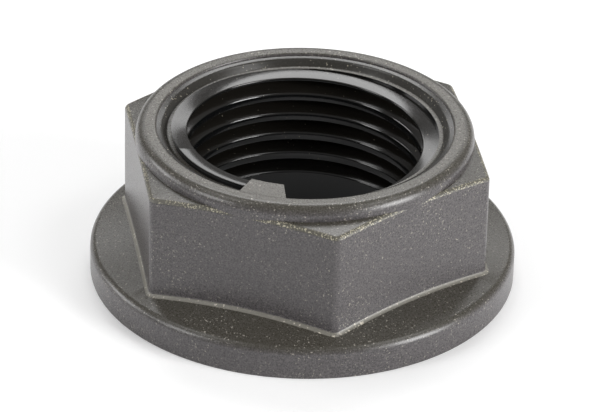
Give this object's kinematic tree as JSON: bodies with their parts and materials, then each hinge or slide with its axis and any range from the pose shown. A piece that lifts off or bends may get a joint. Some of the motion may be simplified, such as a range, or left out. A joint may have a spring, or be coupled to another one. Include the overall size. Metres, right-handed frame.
{
  "type": "flange nut",
  "caption": "Moulded black plastic flange nut: hexagon on a round flange, round collar with a stepped recess, internal pipe thread, serrated bearing face.",
  "frame": {"origin": "middle of the bearing face, on the thread's axis", "axes": "+Z along the thread's axis from the flange to the collar; a corner of the hexagon points along -Y"},
  "size_m": [0.034, 0.034, 0.013],
  "materials": {
    "moulding": "fibre-filled black plastic, matte outside with fine pale specks, glossy in the recess and thread"
  },
  "bodies": {
    "root": {"flange_nut": "moulding"}
  },
  "joints": []
}
